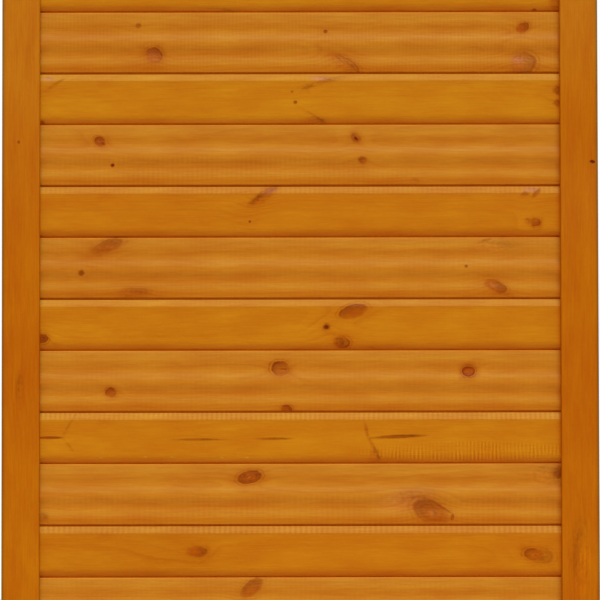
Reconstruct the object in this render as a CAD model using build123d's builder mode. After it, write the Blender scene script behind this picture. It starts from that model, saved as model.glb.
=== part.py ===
"""Wooden fence panel: tongue-and-groove boards of two kinds in a grooved frame.

Millimetres, +Z up, the front faces -Y. The origin is at the middle of the bottom edge.
"""

import os
from math import cos, radians, sin, tan

from build123d import *

os.makedirs("parts", exist_ok=True)

# Frame: two stiles of full height with the rails between them
panel_width = 900.0
frame_depth = 42.0
stile_width = 57.0
rail_width = 57.0
groove_depth = 12.0
outer_round = 4.0
inner_round = 2.0
end_ease = 1.0

# Boards, from the front: lip, tongue, back lip
pair_count = 10
wave_cover = 94.0
flat_cover = 77.0
front_lip = 8.0
tongue_thickness = 5.0
back_lip = 5.0
tongue_height = 8.0
tongue_round = 1.0

# Fronts of the two kinds of board. A wave board has a bead along its middle and a lower one on each side;
# shares are of half its cover, and depths are measured back from the middle bead
valley_share = 0.39
valley_depth = 3.5
side_bead_share = 0.68
side_bead_depth = 2.0
side_bead_radius = 28.0
top_run_angle = 3.5
foot_run_angle = 9.5
wave_edge_round = 1.5
top_bevel_height = 10.0
top_bevel_depth = 4.8
top_bevel_round = 1.5
foot_bevel_height = 6.5
foot_bevel_depth = 4.2
foot_bevel_round = 17.0
back_ease = 1.2

# Open joint lines that show at the front, under each kind of board
gap_under_wave = 2.9
gap_under_flat = 2.7

# Clearances
groove_play = 0.3
tongue_play = 0.25
tongue_tip_play = 1.0
board_end_play = 1.0
tenon_play = 0.1
tenon_end_play = 1.0
stack_play = 2.0
same_level = 0.01

# Countersunk wood screws, two at each corner
screw_length = 100.0
screw_diameter = 5.0
screw_head_diameter = 9.6
screw_head_angle = 90.0
screw_point_length = 7.0
screw_edge = 11.0
screw_sink = 0.4
screw_play = 0.05
hole_end_play = 1.0
drive_lobe_diameter = 1.4
drive_ring_radius = 1.5
drive_depth = 2.2
drive_lobes = 6

# Sizes that follow from those above
board_thickness = front_lip + tongue_thickness + back_lip
groove_width = board_thickness + 2 * groove_play
pair_cover = wave_cover + flat_cover
stack_base = rail_width - groove_depth
stack_top = stack_base + pair_count * pair_cover
panel_height = stack_top + stack_base
board_front = -board_thickness / 2
board_back = board_thickness / 2
board_length = panel_width - 2 * (stile_width - groove_depth + board_end_play)
tongue_y = board_front + front_lip + tongue_thickness / 2
tongue_slot_width = tongue_thickness + 2 * tongue_play
tongue_slot_depth = tongue_height + tongue_tip_play
shoulder_length = panel_width - 2 * stile_width
tenon_length = shoulder_length + 2 * (groove_depth - tenon_end_play)
tenon_thickness = groove_width - 2 * tenon_play
tenon_height = rail_width - groove_depth
screw_radius = screw_diameter / 2
screw_head_radius = screw_head_diameter / 2
screw_hole_radius = screw_radius + screw_play
screw_sink_radius = screw_head_radius + screw_sink
screw_levels = (
    screw_edge,
    tenon_height - screw_edge,
    panel_height - tenon_height + screw_edge,
    panel_height - screw_edge,
)


def outer_edge(side):
    """Plane on the outer edge of a stile, facing away from the panel. Side is -1 for left, 1 for right."""
    return Plane(origin=(side * panel_width / 2, 0, 0), x_dir=(0, side, 0), z_dir=(side, 0, 0))


def across(length, base=0):
    """Plane for the section of a level piece, at its left end: depth along x, height above base along y."""
    return Plane(origin=(-length / 2, 0, base), x_dir=(0, 1, 0), z_dir=(1, 0, 0))


def stile(side):
    """One upright, grooved along its inner edge, with the holes for the corner screws."""
    outer_x = side * panel_width / 2
    inner_x = outer_x - side * stile_width
    with BuildPart() as upright:
        with BuildSketch():
            with Locations(((outer_x + inner_x) / 2, 0)):
                Rectangle(stile_width, frame_depth)
            corners = vertices().group_by(Axis.X)
            fillet(corners[0] if side < 0 else corners[-1], outer_round)
            corners = vertices().group_by(Axis.X)
            fillet(corners[-1] if side < 0 else corners[0], inner_round)
            with Locations((inner_x, 0)):
                Rectangle(2 * groove_depth, groove_width, mode=Mode.SUBTRACT)
        extrude(amount=panel_height)
        chamfer(faces().filter_by(Axis.Z).edges(), end_ease)
        with Locations(outer_edge(side)):
            with Locations([(0, level) for level in screw_levels]):
                CounterSinkHole(
                    screw_hole_radius, screw_sink_radius, stile_width, screw_head_angle
                )
    return upright.part


def rail(is_top):
    """One cross piece, grooved along the edge that faces the boards, with a stub tenon at each end."""
    inward = -1 if is_top else 1
    outer_z = panel_height if is_top else 0
    inner_z = outer_z + inward * rail_width
    middle_z = (outer_z + inner_z) / 2
    levels = screw_levels[2:] if is_top else screw_levels[:2]
    pilot_depth = screw_length + hole_end_play
    with BuildPart() as crosspiece:
        with BuildSketch(across(shoulder_length)):
            with Locations((0, middle_z)):
                Rectangle(frame_depth, rail_width)
            corners = vertices().group_by(Axis.Y)
            fillet(corners[-1] if is_top else corners[0], outer_round)
            corners = vertices().group_by(Axis.Y)
            fillet(corners[0] if is_top else corners[-1], inner_round)
            with Locations((0, inner_z)):
                Rectangle(groove_width, 2 * groove_depth, mode=Mode.SUBTRACT)
        extrude(amount=shoulder_length)
        with BuildSketch(across(tenon_length)):
            with Locations((0, outer_z + inward * tenon_height / 2)):
                Rectangle(tenon_thickness, tenon_height)
        extrude(amount=tenon_length)
        for side in (-1, 1):
            with Locations(outer_edge(side)):
                with Locations([(0, level) for level in levels]):
                    Hole(screw_hole_radius, pilot_depth)
    return crosspiece.part


def front_arris(board, level):
    """The long front edge of a board at one height."""
    long_edges = board.edges().filter_by(Axis.X)
    at_level = long_edges.filter_by_position(Axis.Z, level - same_level, level + same_level)
    return at_level.sort_by(Axis.Y)[0]


def half_wave(side, edge_angle):
    """Front line of a wave board from its middle to one edge. Side is -1 for down, 1 for up."""
    middle = wave_cover / 2
    run_angle = radians(edge_angle)
    bend = side_bead_radius * sin(run_angle)
    bend_depth = side_bead_radius * (1 - cos(run_angle))
    run_point = (
        board_front + side_bead_depth + bend_depth,
        middle + side * (side_bead_share * middle + bend),
    )
    bead = (board_front, middle)
    valley = (board_front + valley_depth, middle + side * valley_share * middle)
    side_bead = (board_front + side_bead_depth, middle + side * side_bead_share * middle)
    for near, far in ((bead, valley), (valley, side_bead)):
        half_way = ((near[0] + far[0]) / 2, (near[1] + far[1]) / 2)
        TangentArc(near, half_way, tangent=(0, side))
        TangentArc(far, half_way, tangent=(0, -side))
    TangentArc(side_bead, run_point, tangent=(0, side))
    edge = middle + side * middle
    edge_y = run_point[0] + side * (edge - run_point[1]) * tan(run_angle)
    Polyline(run_point, (edge_y, edge), (board_back, edge))


def wave_board(base):
    """Board with a waved front, tongue on top and slot below, standing on the level of its base."""
    with BuildPart() as board:
        with BuildSketch(across(board_length, base)):
            with BuildLine():
                half_wave(-1, foot_run_angle)
                half_wave(1, top_run_angle)
                Line((board_back, 0), (board_back, wave_cover))
            make_face()
            joint_cuts(wave_cover, gap_under_wave)
        extrude(amount=board_length)
        fillet(front_arris(board, base + wave_cover), wave_edge_round)
        fillet(front_arris(board, base + gap_under_wave), wave_edge_round)
        ease_back(board, base, wave_cover)
    return board.part


def flat_board(base, is_top):
    """Board with a flat, bevelled front. The top one is ripped to fit under the top rail."""
    foot = gap_under_flat
    top_back = board_front + top_bevel_depth
    foot_back = board_front + foot_bevel_depth
    with BuildPart() as board:
        with BuildSketch(across(board_length, base)):
            with BuildLine():
                Polyline(
                    (board_back, 0),
                    (board_back, flat_cover),
                    (top_back, flat_cover),
                    (board_front, flat_cover - top_bevel_height),
                    (board_front, foot + foot_bevel_height),
                    (foot_back, foot),
                    (foot_back, 0),
                    close=True,
                )
            make_face()
            fillet(vertices().group_by(Axis.X)[0].sort_by(Axis.Y)[-1], top_bevel_round)
            fillet(vertices().group_by(Axis.X)[0].sort_by(Axis.Y)[0], foot_bevel_round)
            joint_cuts(flat_cover, gap_under_flat)
        extrude(amount=board_length)
        ease_back(board, base, flat_cover)
        if is_top:
            split(bisect_by=Plane.XY.offset(stack_top - stack_play), keep=Keep.BOTTOM)
    return board.part


def joint_cuts(cover, gap):
    """Tongue, slot and open front joint line of a board's section."""
    with Locations((tongue_y, cover)):
        Rectangle(tongue_thickness, 2 * tongue_height)
    fillet(vertices().group_by(Axis.Y)[-1], tongue_round)
    with Locations((tongue_y, 0)):
        Rectangle(tongue_slot_width, 2 * tongue_slot_depth, mode=Mode.SUBTRACT)
    with Locations((board_front, 0)):
        Rectangle(2 * front_lip, 2 * gap, mode=Mode.SUBTRACT)


def ease_back(board, base, cover):
    """Small chamfers along the two back edges of a board."""
    for level in (base, base + cover):
        back_edges = board.edges().filter_by(Axis.X).group_by(Axis.Y)[-1]
        chamfer(back_edges.sort_by(lambda edge: abs(edge.center().Z - level))[0], back_ease)


def drawn(part, name):
    """Labels a finished piece and writes it."""
    part.label = name
    export_step(part, f"parts/{name}.step")


drawn(stile(-1), "left_stile")
drawn(stile(1), "right_stile")
drawn(rail(False), "bottom_rail")
drawn(rail(True), "top_rail")

for pair in range(pair_count):
    pair_base = stack_base + pair * pair_cover
    number = f"{pair + 1:02d}"
    drawn(wave_board(pair_base), f"wave_board_{number}")
    drawn(flat_board(pair_base + wave_cover, pair == pair_count - 1), f"flat_board_{number}")

# One screw, head flush with its plane and point below, then all eight
with BuildPart() as screw:
    with BuildSketch(Plane.XZ):
        with BuildLine():
            Polyline(
                (0, 0),
                (screw_head_radius, 0),
                (screw_radius, screw_radius - screw_head_radius),
                (screw_radius, screw_point_length - screw_length),
                (0, -screw_length),
                close=True,
            )
        make_face()
    revolve(axis=Axis.Z)
    with BuildSketch():
        Circle(drive_ring_radius)
        with PolarLocations(drive_ring_radius, drive_lobes):
            Circle(drive_lobe_diameter / 2)
    extrude(amount=-drive_depth, mode=Mode.SUBTRACT)

with BuildPart() as corner_screws:
    for side in (-1, 1):
        with Locations(outer_edge(side)):
            with Locations([(0, level, -screw_sink) for level in screw_levels]):
                add(screw.part)

drawn(corner_screws.part, "corner_screws")
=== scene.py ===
"""Wooden fence panel: waved and flat boards laid across in turn, held in a grooved frame."""

import math
import random
from collections import namedtuple

import bpy
from mathutils import Matrix, Quaternion, Vector


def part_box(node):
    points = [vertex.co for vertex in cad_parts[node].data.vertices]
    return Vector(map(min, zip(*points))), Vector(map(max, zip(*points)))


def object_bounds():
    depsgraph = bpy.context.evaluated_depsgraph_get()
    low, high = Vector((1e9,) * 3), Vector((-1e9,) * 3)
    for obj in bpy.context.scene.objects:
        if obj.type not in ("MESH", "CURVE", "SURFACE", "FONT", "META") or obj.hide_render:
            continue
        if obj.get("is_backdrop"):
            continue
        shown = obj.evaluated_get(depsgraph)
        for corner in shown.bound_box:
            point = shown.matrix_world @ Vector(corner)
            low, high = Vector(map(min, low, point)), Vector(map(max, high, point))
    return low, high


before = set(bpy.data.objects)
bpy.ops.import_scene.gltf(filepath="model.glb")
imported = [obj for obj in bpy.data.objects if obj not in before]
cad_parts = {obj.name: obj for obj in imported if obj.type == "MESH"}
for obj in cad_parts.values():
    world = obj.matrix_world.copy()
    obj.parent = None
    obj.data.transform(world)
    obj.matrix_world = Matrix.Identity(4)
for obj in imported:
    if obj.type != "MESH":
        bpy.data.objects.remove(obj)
cad_low, cad_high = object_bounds()
bpy.ops.object.select_all(action="DESELECT")

# Stiles
# The two uprights of the frame: planed softwood with rounded long edges, stained honey brown.
# Their inner edges are grooved for the ends of the boards, and screws through them hold the rails.

WHITE = (1.0, 1.0, 1.0)
MM_PER_METRE = 1000.0


def feed(tree, socket, value):
    """Puts a number, colour or link into an input."""
    if isinstance(value, bpy.types.NodeSocket):
        tree.links.new(value, socket)
    else:
        socket.default_value = value


def add_node(tree, kind, inputs, **settings):
    """Adds a shader node with its settings and inputs."""
    node = tree.nodes.new("ShaderNode" + kind)
    for name, value in settings.items():
        setattr(node, name, value)
    for name, value in inputs.items():
        feed(tree, node.inputs[name], value)
    return node


def calc(tree, operation, *terms):
    """Result of a sum on single numbers."""
    node = tree.nodes.new("ShaderNodeMath")
    node.operation = operation
    for socket, term in zip(node.inputs, terms):
        feed(tree, socket, term)
    return node.outputs["Value"]


def mix(tree, operation, *terms):
    """Result of a sum on vectors or colours."""
    node = tree.nodes.new("ShaderNodeVectorMath")
    node.operation = operation
    for socket, term in zip(node.inputs, terms):
        feed(tree, socket, term)
    return node.outputs["Value" if operation in ("LENGTH", "DOT_PRODUCT") else "Vector"]


def ramp(tree, value, start, end, first, last):
    """A number led smoothly from its first to its last value while another runs from start to end."""
    inputs = {"Value": value, "From Min": start, "From Max": end, "To Min": first, "To Max": last}
    return add_node(tree, "MapRange", inputs, interpolation_type="SMOOTHSTEP").outputs["Result"]


def speckle(tree, point, scale, detail=2.0):
    """Noise over a point in millimetres, with its own scale along each axis."""
    stretched = mix(tree, "MULTIPLY", point, scale)
    return add_node(tree, "TexNoise", {"Vector": stretched, "Scale": 1.0, "Detail": detail})


def tinted(tree, colour, mask, tint):
    """A colour multiplied by a tint where the mask is one."""
    change = mix(tree, "SUBTRACT", tint, WHITE)
    return mix(tree, "MULTIPLY", colour, mix(tree, "MULTIPLY_ADD", change, mask, WHITE))


def new_group(name, inputs, outputs):
    """Empty shader node group, with the inside ends of its inputs and outputs."""
    tree = bpy.data.node_groups.new(name, "ShaderNodeTree")
    for label, kind in inputs.items():
        tree.interface.new_socket(label, in_out="INPUT", socket_type="NodeSocket" + kind)
    for label, kind in outputs.items():
        tree.interface.new_socket(label, in_out="OUTPUT", socket_type="NodeSocket" + kind)
    return tree, tree.nodes.new("NodeGroupInput").outputs, tree.nodes.new("NodeGroupOutput").inputs


def growth_rings():
    """Late wood, fibres and blotches of a sawn board. Points are in millimetres, x along the grain."""
    inputs = {"Point": "Vector", "Pith": "Vector", "Pitch": "Float", "Slope": "Float", "Lift": "Float"}
    outputs = {"Late": "Float", "Fibre": "Float", "Blotch": "Float"}
    tree, given, result = new_group("growth rings", inputs, outputs)
    point = given["Point"]
    along = add_node(tree, "SeparateXYZ", {"Vector": point}).outputs["X"]
    from_pith = mix(tree, "SUBTRACT", point, given["Pith"])
    radius = mix(tree, "LENGTH", mix(tree, "MULTIPLY", from_pith, (0, 1, 1)))
    drift = speckle(tree, point, (0.005, 0.018, 0.018)).outputs["Fac"]
    wander = calc(tree, "MULTIPLY_ADD", drift, 9.0, -4.5)
    radius = calc(tree, "ADD", calc(tree, "MULTIPLY_ADD", along, given["Slope"], radius), wander)
    year = calc(tree, "ADD", calc(tree, "DIVIDE", radius, given["Pitch"]), given["Lift"])
    growth = calc(tree, "FRACT", year)
    rise = ramp(tree, growth, 0.3, 0.88, 0, 1)
    fall = ramp(tree, growth, 0.9, 1.0, 1, 0)
    late = calc(tree, "MULTIPLY", rise, fall)
    whole = calc(tree, "FLOOR", year)
    strength = add_node(tree, "TexWhiteNoise", {"W": whole}, noise_dimensions="1D").outputs["Value"]
    late = calc(tree, "MULTIPLY", late, calc(tree, "MULTIPLY_ADD", strength, 0.6, 0.4))
    feed(tree, result["Late"], late)
    feed(tree, result["Fibre"], speckle(tree, point, (0.03, 0.55, 0.55), 3.0).outputs["Fac"])
    feed(tree, result["Blotch"], speckle(tree, point, (0.011, 0.04, 0.04), 4.0).outputs["Fac"])
    return tree


def planer_marks():
    """Ripples that a cutter leaves across the grain, inside one long oval patch of a board."""
    inputs = {"Point": "Vector", "Pitch": "Float", "Centre": "Vector", "Size": "Vector"}
    tree, given, result = new_group("planer marks", inputs, {"Ripple": "Float"})
    point = given["Point"]
    along = add_node(tree, "SeparateXYZ", {"Vector": point}).outputs["X"]
    drift = speckle(tree, point, (0.01, 0.01, 0.02)).outputs["Fac"]
    sway = calc(tree, "MULTIPLY_ADD", drift, 4.0, along)
    turns = calc(tree, "DIVIDE", sway, given["Pitch"])
    ripple = calc(tree, "SINE", calc(tree, "MULTIPLY", turns, math.tau))
    offset = mix(tree, "DIVIDE", mix(tree, "SUBTRACT", point, given["Centre"]), given["Size"])
    reach = mix(tree, "LENGTH", mix(tree, "MULTIPLY", offset, (2, 0, 2)))
    uneven = ramp(tree, speckle(tree, point, (0.012, 0.02, 0.05)).outputs["Fac"], 0.35, 0.62, 0.25, 1)
    strength = calc(tree, "MULTIPLY", ramp(tree, reach, 0.75, 1.1, 1, 0), uneven)
    feed(tree, result["Ripple"], calc(tree, "MULTIPLY", ripple, strength))
    return tree


def knot_in_wood():
    """One knot: its heart, the dark arcs on one side, its halo, and its push on the growth rings."""
    inputs = {
        "Point": "Vector", "Tint": "Color", "Lift": "Float", "Mottle": "Float",
        "Centre": "Vector", "Size": "Vector", "Tilt": "Float", "Lean": "Vector",
        "Heart": "Color", "Rim": "Float", "Blur": "Float", "Push": "Float", "Tail": "Float",
    }
    tree, given, result = new_group("knot", inputs, {"Tint": "Color", "Lift": "Float"})
    offset = mix(tree, "SUBTRACT", given["Point"], given["Centre"])
    turn = {"Vector": offset, "Angle": given["Tilt"]}
    turned = add_node(tree, "VectorRotate", turn, rotation_type="Y_AXIS").outputs["Vector"]
    local = mix(tree, "MULTIPLY", mix(tree, "DIVIDE", turned, given["Size"]), (2, 0, 2))
    reach = mix(tree, "LENGTH", local)
    towards = mix(tree, "DOT_PRODUCT", mix(tree, "NORMALIZE", local), given["Lean"])
    one_side = ramp(tree, towards, -0.7, 0.9, 0, 1)
    shaded = calc(tree, "MULTIPLY", one_side, ramp(tree, reach, 0, 0.5, 0, 1))

    uneven = calc(tree, "SUBTRACT", given["Mottle"], 0.5)
    fringe = calc(tree, "MULTIPLY_ADD", uneven, given["Blur"], reach)
    inside = calc(tree, "SUBTRACT", 1, given["Blur"])
    outside = calc(tree, "MULTIPLY_ADD", given["Blur"], 0.6, 1)
    core = ramp(tree, fringe, inside, outside, 1, 0)
    rings = calc(tree, "COSINE", calc(tree, "MULTIPLY", reach, 15.0))
    cloudy = calc(tree, "MULTIPLY_ADD", given["Mottle"], 0.6, 0.76)
    shade = calc(tree, "MULTIPLY_ADD", rings, 0.04, cloudy)
    shade = calc(tree, "MULTIPLY_ADD", shaded, -0.2, shade)
    tint = tinted(tree, given["Tint"], core, mix(tree, "MULTIPLY", given["Heart"], shade))

    edge = calc(tree, "ABSOLUTE", calc(tree, "SUBTRACT", reach, 0.9))
    echo = calc(tree, "ABSOLUTE", calc(tree, "SUBTRACT", reach, 1.28))
    arcs = calc(tree, "ADD", ramp(tree, edge, 0, 0.22, 0.9, 0), ramp(tree, echo, 0, 0.14, 0.4, 0))
    patchy = calc(tree, "MULTIPLY", ramp(tree, given["Mottle"], 0.3, 0.6, 0.3, 1), given["Rim"])
    on_side = calc(tree, "MULTIPLY_ADD", shaded, 0.8, 0.2)
    arcs = calc(tree, "MULTIPLY", calc(tree, "MULTIPLY", arcs, patchy), on_side)
    tint = tinted(tree, tint, calc(tree, "MINIMUM", arcs, 1.3), (0.72, 0.52, 0.4))
    halo = calc(tree, "MULTIPLY", ramp(tree, reach, 0.9, 2.4, 1, 0), given["Rim"])
    tint = tinted(tree, tint, halo, (0.97, 0.92, 0.86))
    feed(tree, result["Tint"], tint)

    spread = mix(tree, "MULTIPLY_ADD", given["Size"], (0.6, 0.6, 0.6), (10, 10, 8))
    stirred = add_node(tree, "SeparateXYZ", {"Vector": mix(tree, "DIVIDE", turned, spread)}).outputs
    behind = calc(tree, "MULTIPLY_ADD", calc(tree, "LESS_THAN", stirred["X"], 0), given["Tail"], 1)
    sideways = calc(tree, "DIVIDE", stirred["X"], behind)
    upwards = calc(tree, "MULTIPLY", stirred["Z"], stirred["Z"])
    square = calc(tree, "MULTIPLY_ADD", sideways, sideways, upwards)
    swell = calc(tree, "EXPONENT", calc(tree, "MULTIPLY", square, -1))
    feed(tree, result["Lift"], calc(tree, "MULTIPLY_ADD", swell, given["Push"], given["Lift"]))
    return tree


grain_group = growth_rings()
planer_group = planer_marks()
knot_group = knot_in_wood()

# A knot's place and size are in millimetres, its tilt and the side of its dark arcs in degrees.
# One no higher than a streak keeps a smooth outline
STREAK = 8.0
Knot = namedtuple(
    "Knot", "along up length height tilt heart depth rim push tail lean blur",
    defaults=(1, 1, 1, 0.5, 50, 0.35),
)


def place_group(tree, group, inputs):
    """Puts a node group into a material and returns its outputs."""
    node = tree.nodes.new("ShaderNodeGroup")
    node.node_tree = group
    for label, value in inputs.items():
        feed(tree, node.inputs[label], value)
    return node.outputs


# Planer marks have their patch in millimetres, and a band its middle and its reach
# to each side; besides stain, bands paint shade, highlights and bounce light. A band with a rim is kept
# to parts that far from the middle of the piece's depth
Marks = namedtuple("Marks", "pitch strength along up length height")
Band = namedtuple("Band", "middle reach tint rim", defaults=(0,))
RIM_BLEND = 3


def stained_wood(
    name, origin, upright, stain, pith, pitch, slope, figure, knots, marks=(), bands=(), stretches=()
):
    """Material of one piece. Its points are millimetres from the origin, with x along the grain.

    Bands are placed by height, and stretches by distance along the grain; besides stain they paint
    shade, highlights and bounce light into the colour.
    """
    material = bpy.data.materials.new(name)
    material.use_nodes = True
    tree = material.node_tree
    shader = tree.nodes["Principled BSDF"]

    turn = Matrix.Rotation(math.radians(90) if upright else 0, 3, "Y")
    placing = {
        "Vector": add_node(tree, "TexCoord", {}).outputs["Object"],
        "Location": turn @ (-MM_PER_METRE * origin),
        "Rotation": turn.to_euler(),
        "Scale": (MM_PER_METRE,) * 3,
    }
    point = add_node(tree, "Mapping", placing).outputs["Vector"]
    noise = speckle(tree, point, (0.12, 0.12, 0.12)).outputs["Color"]
    jitter = mix(tree, "SUBTRACT", noise, (0.5, 0.5, 0.5))
    ragged = mix(tree, "MULTIPLY_ADD", jitter, (5, 0, 5), point)
    mottle = speckle(tree, point, (0.16, 0.3, 0.3), 3.0).outputs["Fac"]

    tint, lift = (*WHITE, 1), 0.0
    for knot in knots:
        heart = [1 + knot.depth * (channel - 1) for channel in knot.heart]
        lean = math.radians(knot.lean)
        outputs = place_group(tree, knot_group, {
            "Point": ragged if knot.height > STREAK else point,
            "Tint": tint, "Lift": lift, "Mottle": mottle,
            "Centre": (knot.along, 0, knot.up), "Size": (knot.length, 1, knot.height),
            "Tilt": math.radians(knot.tilt), "Lean": (math.cos(lean), 0, math.sin(lean)),
            "Heart": (*heart, 1), "Rim": knot.rim, "Blur": knot.blur,
            "Push": knot.push, "Tail": knot.tail,
        })
        tint, lift = outputs["Tint"], outputs["Lift"]

    rings = {"Point": point, "Pith": pith, "Pitch": pitch, "Slope": slope, "Lift": lift}
    grain = place_group(tree, grain_group, rings)
    ripple = 0.0
    for mark in marks:
        patch = {"Centre": (mark.along, 0, mark.up), "Size": (mark.length, 1, mark.height)}
        outputs = place_group(tree, planer_group, {"Point": point, "Pitch": mark.pitch, **patch})
        ripple = calc(tree, "MULTIPLY_ADD", outputs["Ripple"], mark.strength, ripple)

    contrast = calc(tree, "MULTIPLY_ADD", calc(tree, "ABSOLUTE", lift), 0.3, figure)
    late = calc(tree, "MULTIPLY", grain["Late"], calc(tree, "MINIMUM", contrast, 0.8))
    colour = tinted(tree, stain, late, (0.88, 0.74, 0.6))
    colour = tinted(tree, colour, calc(tree, "SUBTRACT", grain["Blotch"], 0.5), (0.76, 0.30, 0.0))
    colour = tinted(tree, colour, calc(tree, "SUBTRACT", grain["Fibre"], 0.5), (0.80, 0.55, 0.4))
    colour = tinted(tree, colour, calc(tree, "SUBTRACT", mottle, 0.5), (0.94, 0.84, 0.7))
    if marks:
        colour = tinted(tree, colour, ripple, (0.93, 0.9, 0.84))
    place = add_node(tree, "SeparateXYZ", {"Vector": point}).outputs
    for axis, tones in (("Z", bands), ("X", stretches)):
        for tone in tones:
            away = calc(tree, "ABSOLUTE", calc(tree, "SUBTRACT", place[axis], tone.middle))
            mask = ramp(tree, away, 0, tone.reach, 1, 0)
            if tone.rim:
                deep_in = calc(tree, "ABSOLUTE", place["Y"])
                at_rim = ramp(tree, deep_in, tone.rim - RIM_BLEND, tone.rim, 0, 1)
                mask = calc(tree, "MULTIPLY", mask, at_rim)
            colour = tinted(tree, colour, mask, tone.tint)
    feed(tree, shader.inputs["Base Color"], mix(tree, "MULTIPLY", colour, tint))
    feed(tree, shader.inputs["Roughness"], calc(tree, "MULTIPLY_ADD", grain["Fibre"], 0.16, 0.36))
    shader.inputs["Specular IOR Level"].default_value = 0.07

    relief = calc(tree, "MULTIPLY", speckle(tree, point, (0.03, 0.8, 0.8), 3.0).outputs["Fac"], 0.05)
    relief = calc(tree, "MULTIPLY_ADD", ripple, 0.04, relief)
    bump = add_node(tree, "Bump", {"Height": relief, "Distance": 1 / MM_PER_METRE, "Strength": 1.0})
    feed(tree, shader.inputs["Normal"], bump.outputs["Normal"])
    return material


def paint(name, material):
    """Gives a piece its material in place of the plain one."""
    mesh = bpy.data.objects[name].data
    mesh.materials.clear()
    mesh.materials.append(material)


brown = (0.76, 0.55, 0.48)
red = (0.79, 0.56, 0.40)
dark = (0.60, 0.38, 0.30)
black = (0.28, 0.14, 0.12)
pink = (0.86, 0.75, 1.6)
smoky = (0.92, 0.83, 0.95)
pale = (1.10, 1.22, 3.0)
# Pale pinkish patches of painted sheen, mostly on the top bevels of the flat boards
sheen_blush = (0.98, 0.96, 12)
clear = WHITE

frame_stain = (0.490, 0.150, 0.0010)
# Painted shade on the rounded outer arrises of the stiles, which turn away from the light
outer_arris_shade = (0.52, 0.70, 3.0)
faded = (1.06, 1.25, 6.0)
deep = (0.97, 0.90, 0.85)
warmer = (1.02, 1.1, 1.3)
bleached = (1.03, 1.07, 3.0)
frame_figure = 0.25
arris_reach = 7
arris_rim = 17.5
stile_pitch = 3.2
stile_slope = 0.012
stile_knots = {
    "left_stile": [
        Knot(238, 3, 5, 4, 0, dark, rim=0.3, push=0.4),
        Knot(-135, 0, 44, 14, 0, brown, 0.2, 0.5, 1.6, 0.5, blur=0.8),
    ],
    "right_stile": [
        Knot(207, -20, 5.5, 8.5, 0, black, rim=0.3, push=0.4),
        Knot(-390, 0, 120, 30, 0, clear, rim=0, push=1.5, tail=2),
    ],
}
stile_stretches = {
    "left_stile": [Band(450, 420, faded), Band(-110, 130, deep), Band(-390, 220, warmer)],
    "right_stile": [Band(450, 190, faded), Band(150, 110, bleached), Band(-140, 150, deep)],
}
for side, name in ((-1, "left_stile"), (1, "right_stile")):
    low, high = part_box(name)
    middle = (low + high) / 2
    pith = (0, 40, -30 * side)
    half_width = MM_PER_METRE * (high.x - low.x) / 2
    # The outer long edges get painted shade along their rounded arrises, front and back.
    edges = [Band(-side * half_width, arris_reach, outer_arris_shade, rim=arris_rim)]
    wood = stained_wood(
        name.replace("_", " "), middle, True, frame_stain, pith, stile_pitch, stile_slope,
        frame_figure, stile_knots[name], bands=edges, stretches=stile_stretches[name],
    )
    paint(name, wood)

# Rails
# The cross pieces at the top and bottom of the frame, of the same section and stain as the stiles.
# A stub tenon at each end sits in the stile's groove, and two screws draw each joint tight.

rail_pith = (0, 35, 12)
rail_pitch = 3.0
rail_slope = 0.01
rail_knots = {
    "bottom_rail": [
        Knot(-140, 6, 18, 14, 10, brown, push=1.4),
        Knot(265, -9, 8, 7, 0, dark, rim=0.6, push=0.6),
    ],
    "top_rail": [Knot(190, -4, 22, 15, -12, brown, push=1.5)],
}
for name, knots in rail_knots.items():
    low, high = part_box(name)
    middle = (low + high) / 2
    wood = stained_wood(
        name.replace("_", " "), middle, False, frame_stain, rail_pith, rail_pitch, rail_slope,
        frame_figure, knots,
    )
    paint(name, wood)

# Wave boards
# Planed pine boards with three waves cut along the front, a tongue on top and a slot below.
# The stain lets the knots and the cutter's fine ripples show, and shade and highlights across the waves
# are partly painted into the colour.

wave_stain = (0.568, 0.230, 0.0145)
# Painted highlight: the lit upper slopes of the three waves are made yellower and whiter
lit_slope_highlight = (0.95, 1.02, 1.3)
# Painted shade: the down-facing flank of the lower wave is made darker and redder
valley_flank_shade = (0.97, 0.90, 0.85)
# Painted bounce light: the tongue inside the shaded joint is made brighter and redder
wave_tongue_bounce = (1.9, 1.5, 0.1)
# Painted highlight along the rounded top edge of each wave board
top_edge_highlight = (1.02, 1.08, 1.7)
foot_shade = (0.97, 0.86, 0.6)
wave_cover = 94
wave_figure = 0.3
# Bands across the height: painted shade at the foot and on the lower valley's flank, painted highlights
# on the lit slopes and the top edge, and painted bounce light on the tongue
wave_bands = (
    Band(8, 9, foot_shade), Band(30, 9, valley_flank_shade), Band(21, 7, lit_slope_highlight), Band(56, 12, lit_slope_highlight),
    Band(85, 10, lit_slope_highlight), Band(91, 3, top_edge_highlight), Band(98, 6, wave_tongue_bounce),
)
wave_marks = {
    "wave_board_04": [Marks(8.1, 0.35, 0, 20, 3000, 60)],
    "wave_board_07": [Marks(7.4, 0.4, -150, 20, 700, 60)],
    "wave_board_08": [Marks(5.6, 0.45, 0, 47, 3000, 200)],
}
plain_wave_marks = [Marks(7.5, 0.2, 0, 47, 3000, 200)]
board_end = 394
end_reach = 8
shaded_end = Band(board_end, end_reach, (1.2, 0.96, 0.8))
wave_stretches = {
    "wave_board_06": [shaded_end, Band(-290, 180, (0.955, 0.9, 0.85))],
    "wave_board_08": [shaded_end, Band(-310, 170, (0.98, 0.94, 0.85))],
}
luck = random.Random(11)

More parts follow.
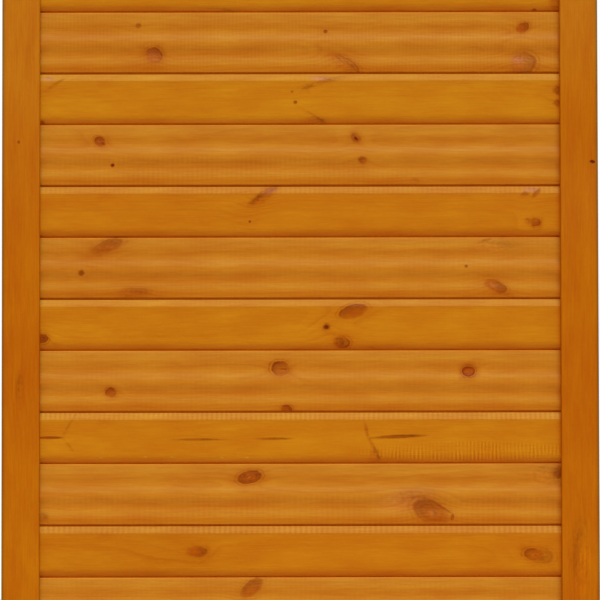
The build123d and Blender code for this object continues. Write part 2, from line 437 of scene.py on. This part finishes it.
wave_knots = {
    "wave_board_03": [Knot(-74, 78, 40, 21, 40, brown, 0.9, 0.8, 1.6)],
    "wave_board_04": [
        Knot(-77, 74, 36, 19, 12, brown, 1.0, 1.5, 1.6, lean=60),
        Knot(-77, 74, 36, 19, 12, clear, 1, 1.2, 0, lean=-120),
        Knot(-79, 73, 8, 4, 12, pale, 0.6, 0, 0, blur=0.8),
        Knot(372, 76, 60, 44, 0, smoky, 0.7, 0, 0, blur=0.9),
        Knot(389, 80, 18, 20, 0, dark, 0.9, 0.5, 1.0, lean=0, blur=0.5),
        Knot(197, 21, 56, 34, -24, brown, 0.95, 1.1, 2.6, lean=150, blur=0.45),
        Knot(200, 20, 14, 10, 0, pale, 0.9, 0, 0, blur=0.8),
        Knot(160, 40, 84, 32, 10, sheen_blush, 0.12, 0, 0, blur=0.95),
        Knot(215, 27, 36, 4, -30, brown, 0.6, 0, 0),
        Knot(229, 14, 6, 10, -10, brown, 1.0, 0, 0),
        Knot(-390, 14, 18, 14, 0, brown, 0.6, 0.4, 1.0, blur=0.6),
    ],
    "wave_board_05": [
        Knot(-30, 67, 27, 22, -12, brown, 0.85, 2.2, 1.6, lean=150, blur=0.3),
        Knot(-26, 66, 13, 3, -8, dark, 0.5, 0, 0),
        Knot(-286, 31, 17, 14, 0, brown, 1.1, 1.8, 1.3, lean=120),
        Knot(-21, 5, 17, 15, 0, brown, 1.1, 1.8, 0.8, lean=60),
        Knot(254, 62, 19, 15, 0, red, 1.1, 2.4, 1.3, lean=-60, blur=0.3),
        Knot(254, 62, 19, 15, 0, clear, 1, 2.2, 0, lean=130),
    ],
    "wave_board_06": [
        Knot(-292, 81, 50, 19, 22, brown, 1.0, 0.9, 1.6, blur=0.6),
        Knot(-331, 41, 9.5, 9, 0, dark, 1.0, 0.3, 1.0, blur=0.5),
        Knot(-253, 11, 46, 14, 3, brown, 0.55, 0.5, 1.2, blur=0.8),
        Knot(251, 50, 5.5, 5, 0, dark, 1.0, 0, 0.4, blur=0.6),
        Knot(296, 20, 36, 17, -25, brown, 0.95, 1.2, 1.5, lean=20, blur=0.4),
        Knot(294, 21, 18, 8, -25, pale, 0.8, 0, 0, blur=0.8),
        Knot(278, 88, 24, 5.5, 18, brown, 0.6, 0, 0, blur=0.7),
        Knot(296, 80, 70, 24, 0, smoky, 0.6, 0, 0, blur=0.9),
    ],
    "wave_board_07": [
        Knot(-303, 69, 18, 14, -35, brown, 1.2, 1.8, 1.3, lean=140, blur=0.4),
        Knot(-304, 69.5, 8, 5, -35, pale, 1.2, 0, 0, blur=0.7),
        Knot(-298, 66, 6, 4, -35, dark, 0.7, 0, 0, blur=0.7),
        Knot(-284, 33, 6.5, 6, 0, dark, 1.5, 0, 0.5, blur=0.5),
        Knot(85, 74, 13, 17, 40, brown, 1.0, 0.8, 1.3, lean=140, blur=0.5),
        Knot(85, 73, 4.5, 8, 40, dark, 1.5, 0, 0, blur=0.7),
        Knot(95, 40, 13, 11, 0, brown, 1.15, 1.1, 1.0, lean=140, blur=0.45),
        Knot(173, 9, 14, 8, 0, smoky, 0.6, 0.3, 0.6, blur=0.6),
    ],
    "wave_board_08": [
        Knot(-245, 74, 9, 8, 20, brown, 1.0, 0.4, 0.8, blur=0.5),
        Knot(-221, 29, 25, 24, -20, pink, 1.2, 1.6, 1.7, lean=75, blur=0.5),
        Knot(39, 65, 7, 6, 0, dark, 1.0, 0, 0.5, blur=0.5),
        Knot(338, 70, 21, 15, 25, red, 1.15, 1.4, 1.3, lean=10, blur=0.45),
        Knot(339, 16, 38, 34, 20, pink, 0.8, 1.2, 2.0, lean=-10, blur=0.5),
        Knot(330, 22, 20, 12, 0, sheen_blush, 0.15, 0, 0, blur=0.9),
        Knot(70, 15, 48, 18, -32, smoky, 1.0, 1.1, 2.0, lean=60, blur=0.7),
        Knot(58, 24, 22, 3, -40, brown, 0.35, 0, 0, blur=0.7),
        Knot(78, 12, 26, 3, -40, brown, 0.35, 0, 0, blur=0.7),
    ],
}


def strewn_knots(cover):
    """Knots for a board that the picture leaves out."""
    knots = []
    for _ in range(luck.randint(2, 4)):
        length = luck.uniform(7, 34)
        knots.append(Knot(
            luck.uniform(-370, 370), luck.uniform(8, cover - 8),
            length, length * luck.uniform(0.55, 0.95), luck.uniform(-25, 25),
            luck.choice((brown, brown, red, pink)), 1.0, luck.uniform(0.6, 1.2),
            0.6 + length * 0.04, luck.uniform(0.3, 1.2), luck.uniform(0, 180), luck.uniform(0.3, 0.6),
        ))
    return knots


for name in sorted(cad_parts):
    if name.startswith("wave_board"):
        low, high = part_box(name)
        origin = Vector((0, 0, low.z))
        pith = (0, luck.uniform(35, 70), luck.uniform(20, 75))
        slope = luck.uniform(-0.012, 0.012)
        knots = wave_knots.get(name) or strewn_knots(wave_cover)
        wood = stained_wood(
            name.replace("_", " "), origin, False, wave_stain, pith, luck.uniform(2.6, 3.6), slope,
            wave_figure, knots, wave_marks.get(name, plain_wave_marks), wave_bands,
            wave_stretches.get(name, [shaded_end]),
        )
        paint(name, wood)

# Flat boards
# Planed pine boards with a flat front between two sloped bevels, jointed like the wave boards.
# One has streaks of resin in it, and rough patches where the cutter tore the grain.

flat_stain = (0.553, 0.215, 0.0050)
flat_tone = {"flat_board_03": 0.92, "flat_board_06": 0.93, "flat_board_07": 1.05}
# Painted sheen: the upward sloped top bevel is made yellower and whiter
top_bevel_sheen = (0.97, 1.13, 3.0)
# Painted bounce light: the downward sloped foot bevel is made lighter and less orange
foot_bevel_bounce = (1.04, 0.98, 2.0)
# Painted highlight along the lower edge of the top bevel
bevel_edge_highlight = (0.95, 1.0, 1.3)
# Painted bounce light: the tongue inside the shaded joint is made brighter and redder
flat_tongue_bounce = (1.5, 1.2, 0.1)
flat_cover = 77
flat_figure = 0.28
# Bands across the height: painted bounce light on the foot bevel and the tongue, painted sheen on the
# top bevel and a painted highlight at its lower edge
flat_bands = (
    Band(6, 7, foot_bevel_bounce), Band(65, 4, bevel_edge_highlight), Band(73, 8, top_bevel_sheen), Band(81, 6, flat_tongue_bounce),
)
flat_marks = {
    "flat_board_03": [Marks(8.1, 1.0, 0, 72, 3000, 13)],
    "flat_board_04": [
        Marks(7.4, 1.0, 0, 72, 3000, 13), Marks(5.6, 1.7, 251, 19, 340, 30),
        Marks(4.3, 0.8, 240, 24, 300, 18), Marks(6.9, 0.8, 260, 13, 320, 16),
    ],
    "flat_board_06": [Marks(7.4, 0.6, 100, 72, 1500, 13)],
}
plain_flat_marks = [Marks(7.5, 0.2, 0, 72, 3000, 13)]
flat_stretches = {"flat_board_03": [shaded_end, Band(-230, 260, (0.955, 0.96, 0.9))]}
resin = (0.62, 0.46, 0.30)
chip = (1.10, 1.35, 2.5)

flat_knots = {
    "flat_board_03": [
        Knot(-156, 39, 31, 17, 0, red, 1.0, 1.2, 2.2, 3.0, lean=0, blur=0.5),
        Knot(358, 34, 46, 26, -12, clear, 1, 0.7, 0, lean=-10),
        Knot(352, 34, 31, 18, -12, brown, 0.75, 1.6, 2.2, 0.8, lean=160),
    ],
    "flat_board_04": [
        Knot(-378, 40, 40, 4.5, 0, dark, 1.1, 0, 0.3),
        Knot(-155, 37, 80, 4, 0, resin, 0.8, 0, 0.3, blur=0.6),
        Knot(-39, 38, 56, 4, 0, resin, 0.9, 0, 0.3, blur=0.6),
        Knot(148, 41, 82, 6, 2.5, resin, 1.15, 0, 0.3, blur=0.5),
        Knot(-350, 56, 40, 5, 60, brown, 0.35, 0, 0, blur=0.9),
        Knot(-352, 30, 26, 5, -48, brown, 0.4, 0, 0, blur=0.9),
        Knot(99.5, 51, 24, 6, -77, brown, 0.8, 0, 0, blur=0.8),
        Knot(110, 25, 38, 6, -63, brown, 0.75, 0, 0, blur=0.8),
        Knot(112, 10, 18, 22, 0, smoky, 1, 0.3, 0.5, blur=0.6),
        Knot(-300, 10, 6, 2.5, 0, chip, 1, 0, 0, blur=0.6),
        Knot(-233, 11, 7, 2.5, 0, chip, 1, 0, 0, blur=0.6),
        Knot(-192, 11, 8, 2.5, 0, chip, 1, 0, 0, blur=0.6),
        Knot(-118, 10, 6, 2.5, 0, chip, 1, 0, 0, blur=0.6),
        Knot(-80, 10, 5, 2.5, 0, chip, 1, 0, 0, blur=0.6),
    ],
    "flat_board_05": [
        Knot(-391, 19, 20, 15, 0, dark, 1.1, 1.8, 2.0, 0, lean=-20, blur=0.5),
        Knot(80, 59, 44, 20, 15, brown, 1.0, 1.6, 1.7, 0.6, lean=100),
        Knot(39, 35, 13, 11, 0, red, 1.0, 0.8, 0.8, 0.6, blur=0.5),
        Knot(39, 35, 9, 7, 0, black, 0.85, 0, 0, blur=0.5),
        Knot(62, 13, 26, 19, -10, brown, 0.6, 1.6, 1.5, 0.6, lean=-10),
        Knot(59, 13, 15, 13, 0, dark, 0.6, 0.4, 0, blur=0.5),
        Knot(101, 4, 26, 5, 0, smoky, 0.6, 0.2, 0),
    ],
    "flat_board_06": [
        Knot(-53, 64, 46, 15, 34, brown, 0.85, 0.6, 1.8, 0.4, lean=90, blur=0.8),
        Knot(-67, 57, 26, 9, 38, brown, 0.8, 0, 0, blur=0.8),
        Knot(-46, 70, 20, 6, 24, sheen_blush, 0.6, 0, 0, blur=0.9),
        Knot(-76, 24, 4, 4, 0, dark, 1.2, 0, 0.3, blur=0.5),
        Knot(349, 72, 20, 8, 0, sheen_blush, 0.5, 0, 0, blur=0.9),
        Knot(358, 67, 20, 7, 47, brown, 1.0, 0, 0.8, blur=0.6),
        Knot(340, 65, 15, 8, 10, brown, 0.8, 0, 0, blur=0.7),
        Knot(356, 23, 14, 14, 0, brown, 1.1, 2.2, 1.0, 0.6, lean=-50, blur=0.4),
        Knot(344, 24, 10, 9, 0, smoky, 1.4, 0.4, 0.5, blur=0.6),
    ],
    "flat_board_07": [
        Knot(-380, 69, 18, 8, 0, sheen_blush, 0.6, 0, 0, blur=0.9),
        Knot(-371, 61, 36, 6, 33, brown, 0.6, 0, 1.0, blur=0.8),
        Knot(-12, 50, 4.5, 4.5, 0, dark, 0.8, 0, 0.3, blur=0.6),
        Knot(-7, 34, 6, 6, 0, dark, 1.0, 0, 0.5, blur=0.5),
        Knot(30, 70, 26, 7, 0, sheen_blush, 0.6, 0, 0, blur=0.9),
        Knot(33, 64, 72, 8, 14, brown, 0.6, 0, 0, blur=0.9),
        Knot(10, 54, 24, 10, 35, red, 0.4, 0, 0, blur=0.9),
        Knot(18, 15, 52, 5, -30, brown, 0.45, 0, 0, blur=0.9),
        Knot(23, 5, 32, 14, 0, smoky, 1.2, 0.3, 0, blur=0.7),
        Knot(390, 52, 15, 14, 0, dark, 0.85, 0.4, 1.0, lean=0, blur=0.6),
        Knot(390, 32, 12, 12, 0, dark, 0.85, 0.4, 1.0, lean=0, blur=0.6),
        Knot(-391, 4, 9, 7, 0, red, 1.2, 0, 0, blur=0.6),
    ],
    "flat_board_08": [
        Knot(-127, 4, 70, 8, 0, smoky, 0.6, 0, 0, blur=0.8),
        Knot(356, 3, 8, 5, 0, dark, 1.0, 0, 0),
        Knot(388, 14, 22, 20, 0, brown, 0.8, 0.5, 1.5, blur=0.5),
    ],
}
for name in sorted(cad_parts):
    if name.startswith("flat_board"):
        low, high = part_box(name)
        origin = Vector((0, 0, low.z))
        pith = (0, luck.uniform(40, 80), luck.uniform(15, 60))
        slope = luck.uniform(-0.012, 0.012)
        knots = flat_knots.get(name) or strewn_knots(flat_cover)
        tone = flat_tone.get(name, 1)
        stain = (flat_stain[0] * math.sqrt(math.sqrt(tone)), flat_stain[1] * tone, flat_stain[2] * tone)
        wood = stained_wood(
            name.replace("_", " "), origin, False, stain, pith, luck.uniform(2.6, 3.6), slope,
            flat_figure, knots, flat_marks.get(name, plain_flat_marks), flat_bands,
            flat_stretches.get(name, [shaded_end]),
        )
        paint(name, wood)

# Corner screws
# Eight countersunk wood screws, zinc plated, driven through the stiles into the rail ends.
# There are two at each corner, with their heads just below the surface.

zinc_colour = (0.66, 0.65, 0.62)
zinc_bloom = (0.9, 0.88, 0.84)
zinc = bpy.data.materials.new("zinc plate")
zinc.use_nodes = True
tree = zinc.node_tree
shader = tree.nodes["Principled BSDF"]
place = mix(tree, "SCALE", add_node(tree, "TexCoord", {}).outputs["Object"])
place.node.inputs["Scale"].default_value = MM_PER_METRE
bloom = speckle(tree, place, (0.5, 0.5, 0.5)).outputs["Fac"]
feed(tree, shader.inputs["Base Color"], tinted(tree, zinc_colour, bloom, zinc_bloom))
feed(tree, shader.inputs["Roughness"], calc(tree, "MULTIPLY_ADD", bloom, 0.2, 0.25))
shader.inputs["Metallic"].default_value = 1.0
paint("corner_screws", zinc)

# Floor and light
# A pale grey floor, a white backdrop and one broad, soft lamp.
# Rays that only carry light find the floor and the surroundings warmer than they look.


def seen(tree):
    """One for rays that show the studio itself, in the camera, in gloss or through glass."""
    rays = add_node(tree, "LightPath", {}).outputs
    mirrored = calc(tree, "MAXIMUM", rays["Is Glossy Ray"], rays["Is Transmission Ray"])
    return calc(tree, "MAXIMUM", rays["Is Camera Ray"], mirrored)


floor_size = 6.0
floor_grey = 0.8
floor_bounce = (0.68, 0.46, 0.36)
bpy.ops.mesh.primitive_plane_add(size=floor_size, location=(0, 0, 0))
floor = bpy.context.object
floor.name = "floor"
floor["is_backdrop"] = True
floor_paint = bpy.data.materials.new("floor paint")
floor_paint.use_nodes = True
tree = floor_paint.node_tree
to_grey = [floor_grey / channel for channel in floor_bounce]
floor_colour = tinted(tree, floor_bounce, seen(tree), to_grey)
feed(tree, tree.nodes["Principled BSDF"].inputs["Base Color"], floor_colour)
floor.data.materials.append(floor_paint)

world = bpy.data.worlds.new("studio")
bpy.context.scene.world = world
world.use_nodes = True
tree = world.node_tree
tree.nodes.clear()
room_light = (1.0, 0.72, 0.45, 1)
room_level = 0.45
ambient = add_node(tree, "Background", {"Color": room_light, "Strength": room_level})
backdrop = add_node(tree, "Background", {"Color": (*WHITE, 1), "Strength": 1.0})
choose = add_node(tree, "MixShader", {
    "Fac": seen(tree), 1: ambient.outputs["Background"], 2: backdrop.outputs["Background"]
})
add_node(tree, "OutputWorld", {"Surface": choose.outputs["Shader"]})

key_energy = 2.24
key_angle = math.radians(36)
key_direction = Vector((-0.3, 2.1, -2.55))
key = bpy.data.objects.new("key", bpy.data.lights.new("key", "SUN"))
key.data.energy = key_energy
key.data.angle = key_angle
key.rotation_euler = key_direction.to_track_quat("-Z", "Y").to_euler()
bpy.context.scene.collection.objects.link(key)

# Camera
# It looks slightly upwards at the middle of the panel, whose width just fits the picture.

view_width = 0.9040
camera_distance = 4.0
camera_tilt = math.radians(1.72)
camera_roll = math.radians(0.088)
aim = Vector((-0.0003, cad_low.y, 0.8990))
forward = Vector((0, math.cos(camera_tilt), math.sin(camera_tilt)))
camera = bpy.data.objects.new("camera", bpy.data.cameras.new("camera"))
bpy.context.scene.collection.objects.link(camera)
camera.data.sensor_width = 36.0
camera.data.lens = camera.data.sensor_width * camera_distance / view_width
camera.location = aim - forward * camera_distance
look = forward.to_track_quat("-Z", "Y")
camera.rotation_euler = (look @ Quaternion((0, 0, 1), -camera_roll)).to_euler()
bpy.context.scene.camera = camera
bpy.context.scene.view_settings.view_transform = "Standard"

low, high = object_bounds()
